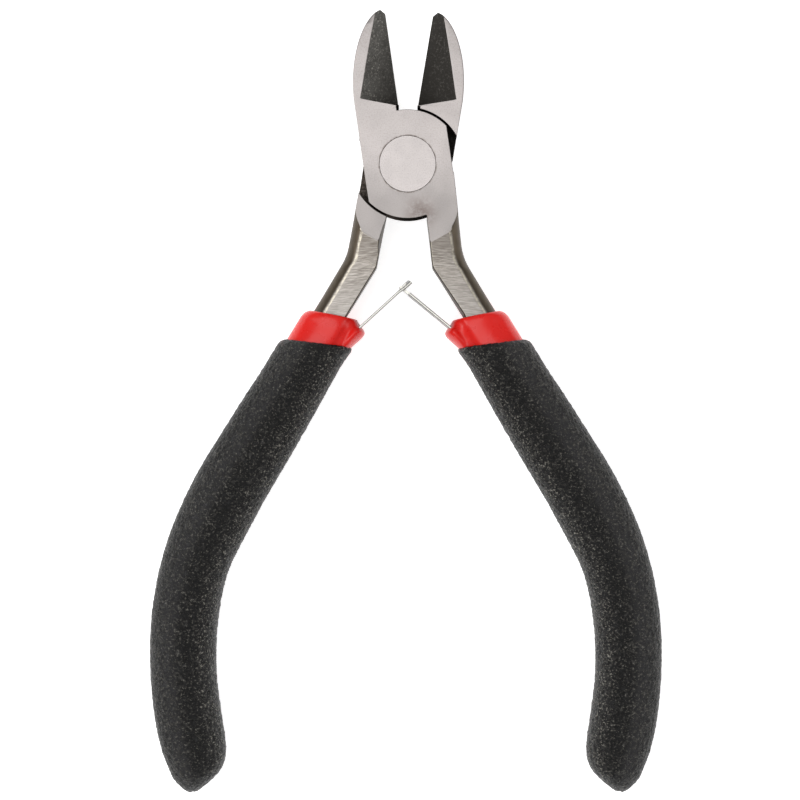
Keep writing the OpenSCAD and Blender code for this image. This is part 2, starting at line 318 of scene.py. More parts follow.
MERGE_WITHIN = 0.004
FLAT_WITHIN = 0.3                # degrees


def clean(ob):
    """Merges the close points and the flat neighbours that the booleans leave."""
    bm = bmesh.new()
    bm.from_mesh(ob.data)
    bmesh.ops.remove_doubles(bm, verts=bm.verts, dist=MERGE_WITHIN)
    bmesh.ops.dissolve_degenerate(bm, edges=bm.edges, dist=MERGE_WITHIN)
    bmesh.ops.dissolve_limit(bm, angle_limit=math.radians(FLAT_WITHIN), verts=bm.verts,
                             edges=bm.edges, delimit={"MATERIAL"})
    bmesh.ops.recalc_face_normals(bm, faces=bm.faces)
    bm.to_mesh(ob.data)
    bm.free()


def smooth_edges(ob, angle):
    """Shades smooth, with hard edges where faces meet at the angle or more."""
    bm = bmesh.new()
    bm.from_mesh(ob.data)
    for face in bm.faces:
        face.smooth = True
    for edge in bm.edges:
        edge.smooth = edge.calc_face_angle(0) < math.radians(angle)
    bm.to_mesh(ob.data)
    bm.free()


ROUNDING = 0.15                  # width of a fully rounded edge
ROUNDED_FROM = 32                # edges that turn by more degrees than this are rounded
HARD_FROM = 34
FLATS_WEIGHT = 80                # large faces' hold on the shading beside rounded edges


def soften(ob, share):
    """Rounds the hard edges, each by its share of ROUNDING, and evens out the flats' normals."""
    ob.data.attributes.new("bevel_weight_edge", "FLOAT", "EDGE")
    bm = bmesh.new()
    bm.from_mesh(ob.data)
    layer = bm.edges.layers.float["bevel_weight_edge"]
    for edge in bm.edges:
        if edge.calc_face_angle(0) > math.radians(ROUNDED_FROM):
            edge[layer] = share(edge)
    bm.to_mesh(ob.data)
    bm.free()
    mod = ob.modifiers.new("edges", "BEVEL")
    mod.width = ROUNDING
    mod.segments = 2
    mod.limit_method = "WEIGHT"
    mod.use_clamp_overlap = False
    mod.miter_outer = "MITER_ARC"
    mod.harden_normals = False
    bake_modifiers(ob)
    smooth_edges(ob, HARD_FROM)
    mod = ob.modifiers.new("flats", "WEIGHTED_NORMAL")
    mod.keep_sharp = True
    mod.weight = FLATS_WEIGHT


def place(ob, turn=0.0, mirrored=False):
    """Opens a piece drawn shut by turning it about the pivot, mirrors it for the left handle,
    and scales it to metres."""
    matrix = Matrix.Rotation(math.radians(turn), 4, "Z")
    if mirrored:
        matrix = Matrix.Scale(-1, 4, Vector((1, 0, 0))) @ matrix
    ob.data.transform(Matrix.Scale(MM, 4) @ matrix)
    if mirrored:
        ob.data.flip_normals()
    return ob


# ---------------------------------------------------------------- materials

class Graph:
    """A material made of procedural nodes, on the piece's own coordinates in millimetres."""

    def __init__(self, name):
        self.material = bpy.data.materials.new(name)
        self.material.use_nodes = True
        self.tree = self.material.node_tree
        self.tree.nodes.clear()
        out = self.add("ShaderNodeOutputMaterial")
        self.shader = self.add("ShaderNodeBsdfPrincipled")
        self.link(self.shader.outputs["BSDF"], out.inputs["Surface"])
        own = self.add("ShaderNodeTexCoord").outputs["Object"]
        self.mm = self.mapping(own, scale=(1000, 1000, 1000))
        self.x, self.y, self.z = self.split(self.mm)
        self.up = self.split(self.add("ShaderNodeNewGeometry").outputs["Normal"])[2]

    def add(self, kind, **settings):
        node = self.tree.nodes.new(kind)
        for key, value in settings.items():
            setattr(node, key, value)
        return node

    def link(self, a, b):
        self.tree.links.new(a, b)

    def put(self, socket, value):
        if isinstance(value, bpy.types.NodeSocket):
            self.link(value, socket)
        elif isinstance(value, tuple) and len(value) == 3 and socket.type == "RGBA":
            socket.default_value = (*value, 1)
        else:
            socket.default_value = value

    def split(self, vector):
        node = self.add("ShaderNodeSeparateXYZ")
        self.put(node.inputs[0], vector)
        return node.outputs[0], node.outputs[1], node.outputs[2]

    def mapping(self, vector, scale=(1, 1, 1), turn=0.0):
        node = self.add("ShaderNodeMapping")
        self.put(node.inputs["Vector"], vector)
        node.inputs["Scale"].default_value = scale
        node.inputs["Rotation"].default_value = (0, 0, math.radians(turn))
        return node.outputs[0]

    def noise(self, scale, vector=None, detail=2.0, rough=0.5):
        node = self.add("ShaderNodeTexNoise")
        self.put(node.inputs["Vector"], vector or self.mm)
        node.inputs["Scale"].default_value = scale
        node.inputs["Detail"].default_value = detail
        node.inputs["Roughness"].default_value = rough
        return node.outputs["Fac"]

    def cells(self, scale):
        node = self.add("ShaderNodeTexVoronoi")
        self.put(node.inputs["Vector"], self.mm)
        node.inputs["Scale"].default_value = scale
        return node.outputs["Distance"]

    def streaks(self, turn, fine, coarse, detail):
        """Noise drawn out along a direction in the plan, turned from +X."""
        flat = self.mapping(self.mm, turn=-turn)
        return self.noise(1.0, self.mapping(flat, scale=(coarse, fine, coarse)), detail, 0.6)

    def calculate(self, operation, a, b):
        node = self.add("ShaderNodeMath", operation=operation)
        self.put(node.inputs[0], a)
        self.put(node.inputs[1], b)
        return node.outputs[0]

    def times(self, a, b):
        return self.calculate("MULTIPLY", a, b)

    def plus(self, a, b):
        return self.calculate("ADD", a, b)

    def larger(self, a, b):
        return self.calculate("MAXIMUM", a, b)

    def step(self, value, low, high, to_low=0.0, to_high=1.0):
        """Goes smoothly from to_low to to_high while the value goes from low to high."""
        node = self.add("ShaderNodeMapRange", interpolation_type="SMOOTHSTEP")
        for socket, v in zip(node.inputs, (value, low, high, to_low, to_high)):
            self.put(socket, v)
        return node.outputs[0]

    def mix(self, factor, a, b):
        node = self.add("ShaderNodeMix", data_type="RGBA")
        self.put(node.inputs["Factor"], factor)
        self.put(node.inputs[6], a)
        self.put(node.inputs[7], b)
        return node.outputs[2]

    def blend_value(self, factor, a, b):
        node = self.add("ShaderNodeMix", data_type="FLOAT")
        self.put(node.inputs["Factor"], factor)
        self.put(node.inputs[2], a)
        self.put(node.inputs[3], b)
        return node.outputs[0]

    def bump(self, height, depth, strength, normal=None):
        """Height is 0 to 1, and depth is what 1 stands for, in mm."""
        node = self.add("ShaderNodeBump")
        node.inputs["Strength"].default_value = strength
        node.inputs["Distance"].default_value = depth * MM
        self.put(node.inputs["Height"], height)
        if normal is not None:
            self.put(node.inputs["Normal"], normal)
        return node.outputs[0]

    def finish(self, color, roughness, metallic=0.0, normal=None, **direct):
        self.put(self.shader.inputs["Base Color"], color)
        self.put(self.shader.inputs["Roughness"], roughness)
        self.put(self.shader.inputs["Metallic"], metallic)
        if normal is not None:
            self.put(self.shader.inputs["Normal"], normal)
        for key, value in direct.items():
            self.shader.inputs[key.replace("_", " ")].default_value = value
        return self.material


def distance(g, x, y):
    """Distance in the plan from a place."""
    node = g.add("ShaderNodeVectorMath", operation="DISTANCE")
    flat = g.add("ShaderNodeCombineXYZ")
    g.put(flat.inputs[0], g.x)
    g.put(flat.inputs[1], g.y)
    g.put(node.inputs[0], flat.outputs[0])
    node.inputs[1].default_value = (x, y, 0)
    return node.outputs["Value"]


def near(g, x, y, radius):
    """1 at a place in the plan, fading to 0 at the radius."""
    return g.step(distance(g, x, y), 0.0, radius, 1.0, 0.0)


GROUND_BLEND = (0.035, 0.012)    # the ground look begins and is whole this far under a flat


def steel_material(name, scratch_turn):
    """Ground flats on the joint and jaws, brushed tops and dark forged sides on the arms, with a painted
    highlight along the arms' crest and painted shade just under the flats.
    """
    g = Graph(name)
    top = g.step(g.z, JOINT_T - GROUND_BLEND[0], JOINT_T - GROUND_BLEND[1])
    bottom = g.step(g.z, *GROUND_BLEND)
    jaws = g.step(g.y, 1.0, 3.0)
    ground = g.larger(g.larger(top, bottom), jaws)

    cloud = g.noise(0.32, detail=3)
    grain = g.noise(5.0, detail=3, rough=0.65)
    ground_color = g.mix(cloud, (0.305, 0.281, 0.274), (0.365, 0.338, 0.329))
    ground_color = g.mix(g.step(g.y, 2.5, -7.0, 0.0, 0.66), ground_color, (0.190, 0.178, 0.171))
    smudge = g.times(near(g, 1.9, -7.0, 3.4),
                     g.step(g.noise(1.5, detail=4, rough=0.65), 0.35, 0.6, 0.15, 0.85))
    ground_color = g.mix(smudge, ground_color, (0.125, 0.098, 0.088))
    ground_color = g.mix(g.step(grain, 0.42, 0.7, 0.0, 0.40), ground_color, (0.20, 0.180, 0.170))
    pits = g.step(g.noise(2.3, detail=4, rough=0.7), 0.66, 0.73, 0.0, 0.5)
    ground_color = g.mix(pits, ground_color, (0.18, 0.16, 0.15))
    from_rivet = distance(g, 0.0, 0.0)
    torn = g.step(g.noise(1.3, detail=5, rough=0.7), 0.42, 0.60, 0.05, 0.9)
    rim = g.times(g.step(from_rivet, RIVET_R + 0.30, RIVET_R + 0.04), torn)
    ground_color = g.mix(rim, ground_color, (0.11, 0.088, 0.075))

    fine = g.streaks(scratch_turn, 11.0, 0.6, 4.0)
    broad = g.streaks(scratch_turn, 4.0, 0.4, 3.0)
    lines = g.plus(g.times(fine, 0.7), g.times(broad, 0.3))
    brushed = g.mix(g.step(lines, 0.40, 0.62), (0.160, 0.142, 0.123), (0.40, 0.37, 0.338))
    lower = g.step(g.y, -12.5, -21.0)
    brushed = g.mix(g.times(lower, 0.35), brushed, (0.36, 0.34, 0.325))
    # Painted shade: the arm is darker just under the ground flats' edge, where its surface dips.
    brushed = g.mix(g.step(g.y, -14.5, -11.2, 0.0, 0.5), brushed, (0.12, 0.104, 0.090))
    # Painted highlight: a mottled cream line along the crest of the arms' outer rounding.
    painted_highlight_amount = g.step(g.noise(1.7, detail=4, rough=0.65), 0.34, 0.62, 0.2, 1.0)
    painted_crest_highlight = g.times(g.step(g.up, 0.915, 0.965), g.step(g.up, 0.999, 0.982))
    painted_crest_highlight = g.times(painted_crest_highlight, g.times(painted_highlight_amount, 0.8))
    side_noise = g.noise(1.6, g.mapping(g.mm, scale=(1.0, 0.35, 1.0)), 4, 0.6)
    side = g.mix(side_noise, (0.045, 0.035, 0.025), (0.125, 0.102, 0.076))
    arm_color = g.mix(g.step(g.up, 0.86, 0.975), side, brushed)
    arm_color = g.mix(painted_crest_highlight, arm_color, (0.74, 0.68, 0.56))

    color = g.mix(ground, arm_color, ground_color)
    arm_rough = g.blend_value(g.step(g.up, 0.6, 0.85), 0.48, 0.40)
    rough = g.blend_value(ground, arm_rough, g.step(cloud, 0.2, 0.8, 0.27, 0.35))
    ground_normal = g.bump(g.noise(9.0, detail=3), 0.0022, 0.6)
    ground_normal = g.bump(g.noise(0.45, detail=1), 0.02, 0.5, ground_normal)
    arm_normal = g.bump(lines, 0.014, 0.8)
    pick = g.add("ShaderNodeMix", data_type="VECTOR")
    g.put(pick.inputs["Factor"], ground)
    g.put(pick.inputs[4], arm_normal)
    g.put(pick.inputs[5], ground_normal)
    return g.finish(color, rough, 1.0, pick.outputs[1])


def bevel_material():
    """The ground slopes over the cutting edges: dark, mottled, with light specks, and with painted shade on
    the right jaw's slope and low down towards the edges.
    """
    g = Graph("ground_bevel")
    speck = g.noise(3.2, detail=5, rough=0.75)
    mottle = g.noise(0.7, detail=4, rough=0.6)
    marks = g.streaks(8.0, 5.0, 0.5, 4.0)
    color = g.mix(g.step(mottle, 0.35, 0.65), (0.075, 0.071, 0.064), (0.120, 0.115, 0.105))
    color = g.mix(g.step(marks, 0.45, 0.62, 0.0, 0.45), color, (0.13, 0.125, 0.115))
    # Painted shade: the right jaw's slope is painted far darker than the left one's, with fewer specks.
    left = g.step(g.x, 0.5, -0.5)
    color = g.mix(g.blend_value(left, 0.85, 0.0), color, (0.020, 0.017, 0.014))
    specks = g.times(g.step(speck, 0.53, 0.64, 0.0, 0.8), g.blend_value(left, 0.25, 1.0))
    color = g.mix(specks, color, (0.34, 0.32, 0.29))
    # Painted shade: darker low down on the slopes, towards the edges, where the other jaw shades them.
    inner = g.step(g.z, 6.5, 2.5, 0.0, 0.6)
    color = g.mix(inner, color, (0.034, 0.031, 0.027))
    height = g.plus(g.times(speck, 0.6), g.times(marks, 0.4))
    normal = g.bump(height, 0.03, 0.8)
    return g.finish(color, g.step(mottle, 0.3, 0.7, 0.46, 0.58), 0.3, normal,
                    Specular_IOR_Level=0.2)


def recess_material():
    """Faces inside the lap joint, dark with old oil and with painted shade, which is lighter on the left."""
    g = Graph("oiled_and_shaded_recess")
    speck = g.noise(3.0, detail=5, rough=0.7)
    # Painted light and shade: lighter on the left, nearly black on the right.
    left = g.step(g.x, 0.0, -3.0)
    dark = g.mix(left, (0.010, 0.009, 0.008), (0.055, 0.045, 0.038))
    light = g.mix(left, (0.03, 0.027, 0.024), (0.16, 0.135, 0.118))
    color = g.mix(g.step(speck, 0.42, 0.68), dark, light)
    normal = g.bump(speck, 0.03, 0.7)
    return g.finish(color, 0.7, 0.0, normal, Specular_IOR_Level=0.0)


def rivet_material():
    """Ground with the joint, a little brighter and with its own pits."""
    g = Graph("ground_rivet")
    cloud = g.noise(0.55, detail=3)
    grain = g.noise(6.0, detail=3, rough=0.65)
    color = g.mix(cloud, (0.335, 0.309, 0.302), (0.395, 0.368, 0.360))
    color = g.mix(g.step(grain, 0.45, 0.66, 0.0, 0.42), color, (0.21, 0.190, 0.182))
    pits = g.step(g.noise(3.1, detail=4, rough=0.7), 0.68, 0.74, 0.0, 0.45)
    color = g.mix(pits, color, (0.30, 0.27, 0.26))
    normal = g.bump(g.noise(9.0, detail=3), 0.0022, 0.6)
    return g.finish(color, g.step(cloud, 0.2, 0.8, 0.27, 0.34), 1.0, normal)


def spring_material():
    """Bright rolled strip, with painted shade on its sides and a light upper edge."""
    g = Graph("rolled_spring_steel")
    grain = g.noise(3.5, g.mapping(g.mm, scale=(1, 1, 3)), 4, 0.6)
    cloud = g.noise(0.8, detail=2)
    color = g.mix(cloud, (0.40, 0.392, 0.360), (0.50, 0.492, 0.460))
    color = g.mix(g.step(grain, 0.5, 0.72, 0.0, 0.12), color, (0.14, 0.132, 0.118))
    # Painted shade: faces that do not look up, the strip's sides, are painted dark.
    color = g.mix(g.step(g.up, 0.55, 0.9), (0.055, 0.052, 0.045), color)
    normal = g.bump(grain, 0.004, 0.6)
    return g.finish(color, g.step(cloud, 0.2, 0.8, 0.22, 0.34), 1.0, normal)


def red_material():
    """Glossy dipped vinyl, with the slight ripples of a dipped skin."""
    g = Graph("dipped_red_vinyl")
    cloud = g.noise(0.5, detail=3)
    color = g.mix(cloud, (0.70, 0.008, 0.005), (0.80, 0.013, 0.008))
    dust = g.step(g.noise(3.6, detail=4, rough=0.7), 0.66, 0.74, 0.0, 0.25)
    color = g.mix(dust, color, (0.80, 0.08, 0.06))
    ripple = g.bump(g.noise(0.55, detail=2), 0.05, 0.6)
    normal = g.bump(g.noise(4.0, detail=3), 0.004, 0.5, ripple)
    return g.finish(color, g.step(cloud, 0.2, 0.8, 0.24, 0.32), 0.0, normal,
                    Specular_IOR_Level=0.38)


def grip_material():
    """Black dipped skin with a fine sand grain, painted glints, and a painted band of highlight beside a
    painted band of shade.
    """
    g = Graph("pebbled_black_vinyl")
    grain = g.noise(1.8, detail=4, rough=0.7)
    pebble = g.cells(2.6)
    side = g.add("ShaderNodeAttribute", attribute_name="across").outputs["Fac"]
    # Painted highlight and shade: a lighter band over the outer half and a darker band nearer the inner
    # side, along the grip.
    painted_highlight_amount = g.times(g.step(side, 0.52, 0.66), g.step(side, 0.92, 0.72))
    painted_shade_band = g.times(g.step(side, 0.22, 0.38), g.step(side, 0.56, 0.42))
    inner_side = g.step(side, 0.34, 0.18)
    color = g.mix(painted_highlight_amount, (0.0032, 0.0030, 0.0030), (0.0200, 0.0195, 0.0206))
    color = g.mix(painted_shade_band, color, (0.0012, 0.0011, 0.0011))
    tips = g.step(grain, 0.47, 0.60)
    tips = g.times(tips, g.blend_value(painted_shade_band, 0.9, 0.25))
    color = g.mix(tips, color, (0.034, 0.032, 0.029))
    # Painted glints: light specks, most of them on the inner side.
    spot = g.noise(3.6, detail=5, rough=0.75)
    glint = g.times(g.step(spot, 0.56, 0.63), g.blend_value(inner_side, 0.40, 1.0))
    color = g.mix(glint, color, (0.30, 0.285, 0.245))
    relief = g.step(grain, 0.36, 0.64)
    height = g.plus(g.times(relief, 0.75), g.times(pebble, 0.35))
    normal = g.bump(height, 0.16, 1.0)
    rough = g.step(g.noise(4.0, detail=3), 0.35, 0.65, 0.28, 0.5)
    return g.finish(color, rough, 0.0, normal, Specular_IOR_Level=0.30)


steel_upper = steel_material("forged_steel_upper", -4.0)
steel_lower = steel_material("forged_steel_lower", 5.0)
bevel = bevel_material()
recess = recess_material()
rivet_steel = rivet_material()
spring_steel = spring_material()
red_vinyl = red_material()
black_vinyl = grip_material()


# ---------------------------------------------------------------- the forged halves

TIP_BACK = -0.63                 # where the back ends at the tip
TIP_CORNER = 0.6                 # the cutting edge ends this far below the tip
BACK_START = 9.6
BACK_POWER = 1.85
BACK_PAST_TIP = 0.16             # the back's curve would close this far past the tip
BACK_STEPS = 40
JAW_ROOT_Y = 2.0                 # the jaw's plan begins here, inside the joint
SLIT_HALF_W = 0.45               # of the slit under the shut cutting edges


def jaw_plan(length):
    back_len = length - BACK_START + BACK_PAST_TIP
    back = []
    for i in range(BACK_STEPS + 1):
        t = (length - BACK_START) / back_len * sind(90 * i / BACK_STEPS)
        back.append((-HALF_W * (1 - t ** BACK_POWER) ** (1 / BACK_POWER),
                     BACK_START + t * back_len))
    return ([(-HALF_W, JAW_ROOT_Y)] + back
            + [(TIP_BACK, length), (-EDGE_AIR, length - TIP_CORNER), (-EDGE_AIR, EDGE_START),
               (-SLIT_HALF_W, EDGE_START), (-SLIT_HALF_W, JAW_ROOT_Y)])


REACH = 60.0                     # cutting tools run this far past the joint
PAST_TIP = 0.5
UNDERSIDE_FROM = 9.0             # from here the underside rises to the tip
TIP_DROP = 0.8                   # TIP_T counts from this far under the joint's top
ROLL_FROM = 13.5                 # from here the top rolls down, by ROLL_DROP at the tip
ROLL_DROP = 0.2
ROLL_STEPS = 16


def jaw_side(length):
    far = length + PAST_TIP
    roll = []
    for i in range(ROLL_STEPS + 1):
        y = ROLL_FROM + (far - ROLL_FROM) * i / ROLL_STEPS
        roll.append((y, JOINT_T - ROLL_DROP * ((y - ROLL_FROM) / (far - ROLL_FROM)) ** 2))
    return ([(-REACH, 0), (UNDERSIDE_FROM, 0), (far, JOINT_T - TIP_DROP - TIP_T)]
            + list(reversed(roll)) + [(-REACH, JOINT_T)])


OUTER_BEND_R = 10.5              # of the line that the arm's outer edge is offset from
INNER_BEND_R = -1.3              # the same for the inner edge, which turns in a kink
BEND_STEPS = 14
ARM_ROOT_Y = -4.0
ROOT_OVERLAP = 2.0
ROOT_STEPS = 44
TANG_STATIONS = [6, 8, 10, 12, 14, 18, 24, 30, 33, *range(36, int(TANG_END), 4), TANG_END]


def arm_edge(side, shift):
    """Points down one edge of the arm and tang. side is 1 for the outer edge."""
    arm_x = HALF_W - ARM_W / 2
    offset = TANG_OFFSET[0][1]
    s_v = (arm_x - PATH_START[0] - offset * cosd(SPREAD)) / sind(SPREAD)
    vertex = beside(s_v, offset) + Vector((shift, 0))
    root = Vector((arm_x, ARM_ROOT_Y))
    h_a = math.degrees(math.atan2(vertex[0] - root[0], root[1] - vertex[1]))
    bend_r = OUTER_BEND_R if side > 0 else INNER_BEND_R
    start = vertex - bend_r * tand((SPREAD - h_a) / 2) * along(h_a)
    u = side * ARM_W / 2
    points = [root - ROOT_OVERLAP * along(h_a) + u * across(h_a)]
    for i in range(1, ROOT_STEPS):
        points.append(root + (start - root) * i / ROOT_STEPS + u * across(h_a))
    for i in range(BEND_STEPS + 1):
        h = h_a + (SPREAD - h_a) * i / BEND_STEPS
        points.append(start + bend_way(bend_r, h, h_a) + u * across(h))
    for s in TANG_STATIONS:
        half_w = lookup(s, TANG_HALF_W)
        points.append(beside(s, lookup(s, TANG_OFFSET) + side * half_w) + Vector((shift, 0)))
    return points


# Pairs of y and half the arm's height. The forging stands higher than the ground flats near the
# joint, and they cut it off.
ARM_HALF_HEIGHT = [(-60, 2.5), (-32, 2.5), (-23, 2.95), (-12.2, 3.42), (-10.8, 3.47),
                   (-10.0, 3.73), (-9.3, 4.27), (-8.4, 5.1), (-7.6, 5.95), (-6.0, 7.5), (0, 8.0)]
ROUND_W = 1.85                   # size of the rounding on the outer side
ROUND_H = 2.4
ROUND_STEPS = 9
SIDE_FLAT = 0.1                  # least flat left between the two roundings
CORNER = 0.12
DRAFT_H = 2.2                    # height of the sloping strips on the inner side


def arm_ring(outer, inner, draft):
    """A section of the arm: rounded on its outer side, sloped by the draft on its inner side."""
    way = outer - inner
    width = way.length
    way = way / width
    h = lookup((outer[1] + inner[1]) / 2, ARM_HALF_HEIGHT)
    rounding = min(ROUND_H, h - SIDE_FLAT)
    section = [(draft + CORNER, -h)]
    angles = [90 * i / ROUND_STEPS for i in range(ROUND_STEPS + 1)]
    for a in angles:
        section.append((width - ROUND_W + ROUND_W * sind(a), -h + rounding - rounding * cosd(a)))
    for a in angles:
        section.append((width - ROUND_W + ROUND_W * cosd(a), h - rounding + rounding * sind(a)))
    section += [(draft + CORNER, h), (draft, h - CORNER), (0, h - DRAFT_H), (0, -h + DRAFT_H),
                (draft, -h + CORNER)]
    return [(inner[0] + way[0] * t, inner[1] + way[1] * t, MID_Z + z) for t, z in section]


LEAST_DRAFT = 0.03
DRAFT_FADE = 1.2


def arm_drafts(points, spans):
    """How far the top's inner edge is set in at each point, on the given spans of y."""
    out = []
    for p in points:
        best = LEAST_DRAFT
        for y0, y1, depth in spans:
            t = min((p[1] - y1) / DRAFT_FADE, (y0 - p[1]) / DRAFT_FADE)
            best = max(best, depth * clamp(t))
        out.append(best)
    return out


CUT = 1.0                        # cutting tools stand out of what they cut by this
JAW_CUT_W = 9.0                  # the bevel's cut reaches this far out from the edge
JAW_CUT_Y = 40.0                 # the jaw's cuts end here, well past its tip
JAW_BLOCK_W = 12.0
WALL_SLOPE = 0.34                # the bevel ends at a wall that runs back as it goes out
RELIEF_SIZE = (5.0, 20.0)        # width and depth of the cut under the edge


def jaw_solid(name, length):
    """The jaw, drawn shut: its side cut from its plan, then the bevel and the edge's relief."""
    ob = prism(name, jaw_plan(length), -CUT, JOINT_T + CUT)
    side = jaw_side(length)
    rings = [[(x, y, z) for y, z in side] for x in (-JAW_BLOCK_W, JAW_BLOCK_W)]
    boolean(ob, rings_mesh("side", rings), "INTERSECT")
    roll = math.atan(tand(BEVEL_SLOPE) * cosd(EDGE_RISE))
    edge = (Matrix.Translation((-EDGE_AIR, EDGE_START, EDGE_LOW))
            @ Matrix.Rotation(math.radians(EDGE_RISE), 4, "X"))
    slope = block("slope", (-REACH, -REACH, 0), (REACH, REACH, 2 * REACH),
                  edge @ Matrix.Rotation(roll, 4, "Y"))
    area = [(CUT, EDGE_START - CUT * WALL_SLOPE),
            (-JAW_CUT_W, EDGE_START + JAW_CUT_W * WALL_SLOPE),
            (-JAW_CUT_W, JAW_CUT_Y), (CUT, JAW_CUT_Y)]
    boolean(slope, prism("area", area, -CUT, JOINT_T + CUT), "INTERSECT")
    boolean(ob, slope, "DIFFERENCE")
    relief = block("relief", (0, 0, -RELIEF_SIZE[1]), (RELIEF_SIZE[0], JAW_CUT_Y, 0),
                   edge @ Matrix.Rotation(math.radians(EDGE_RELIEF), 4, "Y"))
    boolean(ob, relief, "DIFFERENCE")
    return ob


CIRCLE_STEPS = 240


def plate_and_arm(shift, drafts):
    """The joint's plate with the arm and its tang, drawn shut and not yet ground flat."""
    plate = [(x, y) for x, y in circle(PLATE_R, CIRCLE_STEPS) if abs(x) <= HALF_W]
    ob = prism("plate", plate, -CUT, JOINT_T + CUT)
    outer = arm_edge(1, shift)
    inner = arm_edge(-1, shift)
    sets = arm_drafts(inner, drafts)
    arm = rings_mesh("arm", [arm_ring(a, b, d) for a, b, d in zip(outer, inner, sets)])
    return boolean(ob, arm, "UNION")


CONE_H = RIVET_R - SHANK_R


def cut_joint(ob, on_top, air):
    """Takes out the room for the other half's plate, and the rivet's bore."""
    room = MID_Z + PLATE_GAP / 2
    low = -CUT if on_top else JOINT_T - room
    boolean(ob, prism("room", circle(SHOULDER_R, CIRCLE_STEPS), low, low + room + CUT),
            "DIFFERENCE")
    bore = [(0, -CUT), (RIVET_R + air, -CUT), (RIVET_R + air, HEAD_H),
            (SHANK_R + air, HEAD_H + CONE_H), (SHANK_R + air, JOINT_T - HEAD_H - CONE_H),
            (RIVET_R + air, JOINT_T - HEAD_H), (RIVET_R + air, JOINT_T + CUT), (0, JOINT_T + CUT)]
    boolean(ob, lathe("bore", bore), "DIFFERENCE")


STEEL, BEVEL, RECESS = range(3)  # a half's material slots


def face_slot(face, shut):
    """The slot that a face takes, by its place and direction once the matrix shuts the jaw."""
    centre = shut @ face.center
    normal = shut.to_3x3() @ face.normal
    in_jaw = centre[1] > EDGE_START - 0.6 and centre[0] > -7
    slope = in_jaw and centre[1] > EDGE_START and 0.25 < normal[2] < 0.93 and normal[0] > 0.2
    end_wall = in_jaw and abs(normal[2]) < 0.3 and normal[1] > 0.6 and centre[1] < 12.0
    cut_side = in_jaw and normal[0] > 0.6 and abs(normal[2]) < 0.5
    radius = math.hypot(face.center[0], face.center[1])
    lap = abs(normal[2]) > 0.9 and abs(face.center[2] - MID_Z) < 0.2
    shoulder = (abs(normal[2]) < 0.1 and radius < SHOULDER_R + 0.6
                and abs(face.center[0]) < HALF_W - 0.1)
    slit = abs(normal[2]) < 0.3 and abs(centre[0]) < 0.6 and 7.0 < centre[1] < 8.7
    if lap or slit or shoulder:
        return RECESS
    if slope or end_wall or cut_side:
        return BEVEL
    return STEEL


def edge_share(edge, shut):
    """How much of the rounding an edge gets: all on the jaw's back, least round the bore."""
    middle = shut @ ((edge.verts[0].co + edge.verts[1].co) / 2)
    outside = any(f.normal.length > 0 and (shut.to_3x3() @ f.normal)[0] < -0.35
                  for f in edge.link_faces)
    on_jaw = middle[1] > BACK_START and middle[0] < 0 and middle[2] > 4.5
    if on_jaw and outside:
        return 1.0
    return 0.1 if math.hypot(middle[0], middle[1]) < RIVET_R + 0.3 else 0.5


def shape_half(name, jaw_size, handle_open, shift, on_top, air, drafts):
    length, jaw_open = jaw_size
    jaw_turn = Matrix.Rotation(math.radians(jaw_open), 4, "Z")
    arm_turn = Matrix.Rotation(math.radians(handle_open), 4, "Z")

    ob = jaw_solid(name, length)
    ob.data.transform(jaw_turn)
    arm = plate_and_arm(shift, drafts)
    arm.data.transform(arm_turn)
    slab = block("slab", (-REACH, -1.5 * REACH, 0), (REACH, REACH, JOINT_T))
    boolean(arm, slab, "INTERSECT")
    boolean(ob, arm, "UNION")
    cut_joint(ob, on_top, air)
    clean(ob)

    for material in (None, bevel, recess):
        ob.data.materials.append(material)
    shut = jaw_turn.inverted()
    for face in ob.data.polygons:
        face.material_index = face_slot(face, shut)
    soften(ob, lambda edge: edge_share(edge, shut))
    return ob


UPPER_BORE_AIR = 0.04            # the upper half turns on the rivet, the lower one holds it
LOWER_BORE_AIR = 0.01
UPPER_DRAFTS = [(-18.0, -23.5, 0.34)]
LOWER_DRAFTS = [(-6.0, -13.4, 0.36)]

upper = shape_half("upper_forging", LEFT_JAW, RIGHT_OPEN, RIGHT_SHIFT, True, UPPER_BORE_AIR,
                   UPPER_DRAFTS)
lower = shape_half("lower_forging", RIGHT_JAW, LEFT_OPEN, LEFT_SHIFT, False, LOWER_BORE_AIR,
                   LOWER_DRAFTS)
place(upper)
place(lower, mirrored=True)
upper.data.materials[STEEL] = steel_upper
lower.data.materials[STEEL] = steel_lower

RIVET_CHAMFER = 0.02
rivet = lathe("pivot_rivet_turned", [
    (0, 0), (RIVET_R - RIVET_CHAMFER, 0), (RIVET_R, RIVET_CHAMFER), (RIVET_R, HEAD_H),
    (SHANK_R, HEAD_H + CONE_H), (SHANK_R, JOINT_T - HEAD_H - CONE_H), (RIVET_R, JOINT_T - HEAD_H),
    (RIVET_R, JOINT_T - RIVET_CHAMFER), (RIVET_R - RIVET_CHAMFER, JOINT_T), (0, JOINT_T)])
place(rivet)
smooth_edges(rivet, 30)
rivet.data.materials.append(rivet_steel)


# ---------------------------------------------------------------- sleeves and grips

SLEEVE_S = path_s_at(SLEEVE_MOUTH)
GRIP_S = path_s_at(GRIP_MOUTH)

